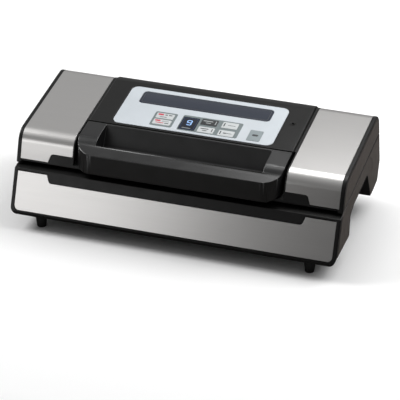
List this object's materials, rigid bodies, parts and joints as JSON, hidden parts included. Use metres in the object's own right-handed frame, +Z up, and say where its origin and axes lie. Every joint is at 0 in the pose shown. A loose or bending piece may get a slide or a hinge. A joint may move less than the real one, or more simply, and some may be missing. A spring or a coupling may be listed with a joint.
{
  "type": "vacuum sealer",
  "caption": "Countertop vacuum sealer with a hinged lid, a lift-up locking handle, a control panel and a covered compartment for a roll of bag material.",
  "frame": {"origin": "middle of the footprint, on the plane that the four feet stand on", "axes": "+X to the right as the user faces the front, +Y from the front to the back, +Z up"},
  "size_m": [0.4, 0.203, 0.1282],
  "materials": {
    "black_plastic": "fine moulded texture, satin black",
    "charcoal_plastic": "fine moulded texture, charcoal",
    "brushed_steel": "brushed stainless sheet, grain along the width",
    "silver_overlay": "satin silver front plate",
    "smoked_window": "smoked clear window",
    "display_glass": "gloss dark blue display cover",
    "white_key": "satin white key",
    "dark_key": "satin dark key",
    "grey_key": "satin grey key",
    "foot_rubber": "matt black rubber",
    "gasket_foam": "soft closed-cell foam",
    "sealing_tape": "coated glass cloth",
    "zinc_steel": "zinc plated steel",
    "iron_core": "varnished laminated core",
    "circuit_board": "green circuit board",
    "natural_plastic": "unpainted nylon and silicone"
  },
  "bodies": {
    "base": {"base_housing": "black_plastic", "bottom_cover": "black_plastic", "base_front_panel": "brushed_steel", "base_side_panel_left": "charcoal_plastic", "base_side_panel_right": "charcoal_plastic", "roll_trough": "black_plastic", "drip_tray": "charcoal_plastic", "lower_gasket": "gasket_foam", "seal_bar": "natural_plastic", "sealing_tape": "sealing_tape", "cutter_rail": "black_plastic", "air_nozzle": "charcoal_plastic", "air_hose": "natural_plastic", "pump_body": "charcoal_plastic", "pump_motor": "zinc_steel", "transformer": "iron_core", "power_board": "circuit_board", "power_inlet": "black_plastic", "latch_catch_left": "zinc_steel", "latch_catch_right": "zinc_steel", "hinge_base_leaf_left": "zinc_steel", "hinge_base_leaf_right": "zinc_steel", "hinge_pin_left": "zinc_steel", "hinge_pin_right": "zinc_steel", "foot_front_left": "foot_rubber", "foot_front_right": "foot_rubber", "foot_rear_left": "foot_rubber", "foot_rear_right": "foot_rubber", "cover_screw_1": "zinc_steel", "cover_screw_2": "zinc_steel", "cover_screw_3": "zinc_steel", "cover_screw_4": "zinc_steel"},
    "lid": {"lid_shell": "black_plastic", "steel_wrap_left": "brushed_steel", "steel_wrap_right": "brushed_steel", "lid_side_panel_left": "charcoal_plastic", "lid_side_panel_right": "charcoal_plastic", "console": "black_plastic", "control_overlay": "silver_overlay", "roll_window": "smoked_window", "display_lens": "display_glass", "control_board": "circuit_board", "accessory_port": "black_plastic", "lid_liner": "black_plastic", "upper_gasket": "gasket_foam", "pressure_strip": "foot_rubber", "hinge_lid_leaf_left": "zinc_steel", "hinge_lid_leaf_right": "zinc_steel"},
    "handle": {"handle": "black_plastic"},
    "latch_hooks": {"latch_hook_left": "zinc_steel", "latch_hook_right": "zinc_steel"},
    "cutter_slider": {"cutter_slider": "grey_key"},
    "pump_crank": {"pump_crank": "zinc_steel"},
    "key_bag_dry": {"key_bag_dry": "white_key"},
    "key_bag_moist": {"key_bag_moist": "white_key"},
    "key_seal_only": {"key_seal_only": "dark_key"},
    "key_pressure": {"key_pressure": "white_key"},
    "key_marinate": {"key_marinate": "white_key"},
    "key_canister": {"key_canister": "white_key"},
    "key_start": {"key_start": "grey_key"}
  },
  "joints": [
    {"name": "lid_hinge", "type": "hinge", "parent": "base", "child": "lid", "pos_m": [0, 0.09451, 0.0936], "axis": [-1, 0, 0], "range_deg": [0, 75]},
    {"name": "handle_pivot", "type": "hinge", "parent": "lid", "child": "handle", "pos_m": [0, -0.03649, 0.1082], "axis": [-1, 0, 0], "range_deg": [0, 35]},
    {"name": "latch_turn", "type": "hinge", "parent": "lid", "child": "latch_hooks", "pos_m": [0, -0.04199, 0.09], "axis": [-1, 0, 0], "range_deg": [0, 10.5]},
    {"name": "cutter_slide", "type": "slide", "parent": "base", "child": "cutter_slider", "axis": [1, 0, 0], "range_m": [0, 0.276]},
    {"name": "crank_spin", "type": "hinge", "parent": "base", "child": "pump_crank", "pos_m": [-0.064, -0.02999, 0.042], "axis": [1, 0, 0], "continuous": true},
    {"name": "key_bag_dry_press", "type": "slide", "parent": "lid", "child": "key_bag_dry", "axis": [0, 0.1045, -0.9945], "range_m": [0, 0.0005], "stiffness_N_per_m": 800},
    {"name": "key_bag_moist_press", "type": "slide", "parent": "lid", "child": "key_bag_moist", "axis": [0, 0.1045, -0.9945], "range_m": [0, 0.0005], "stiffness_N_per_m": 800},
    {"name": "key_seal_only_press", "type": "slide", "parent": "lid", "child": "key_seal_only", "axis": [0, 0.1045, -0.9945], "range_m": [0, 0.0005], "stiffness_N_per_m": 800},
    {"name": "key_pressure_press", "type": "slide", "parent": "lid", "child": "key_pressure", "axis": [0, 0.1045, -0.9945], "range_m": [0, 0.0005], "stiffness_N_per_m": 800},
    {"name": "key_marinate_press", "type": "slide", "parent": "lid", "child": "key_marinate", "axis": [0, 0.1045, -0.9945], "range_m": [0, 0.0005], "stiffness_N_per_m": 800},
    {"name": "key_canister_press", "type": "slide", "parent": "lid", "child": "key_canister", "axis": [0, 0.1045, -0.9945], "range_m": [0, 0.0005], "stiffness_N_per_m": 800},
    {"name": "key_start_press", "type": "slide", "parent": "lid", "child": "key_start", "axis": [0, 0.1045, -0.9945], "range_m": [0, 0.0005], "stiffness_N_per_m": 800}
  ],
  "couplings": [
    {"joint": "latch_turn", "follows": "handle_pivot", "ratio": 0.3}
  ]
}
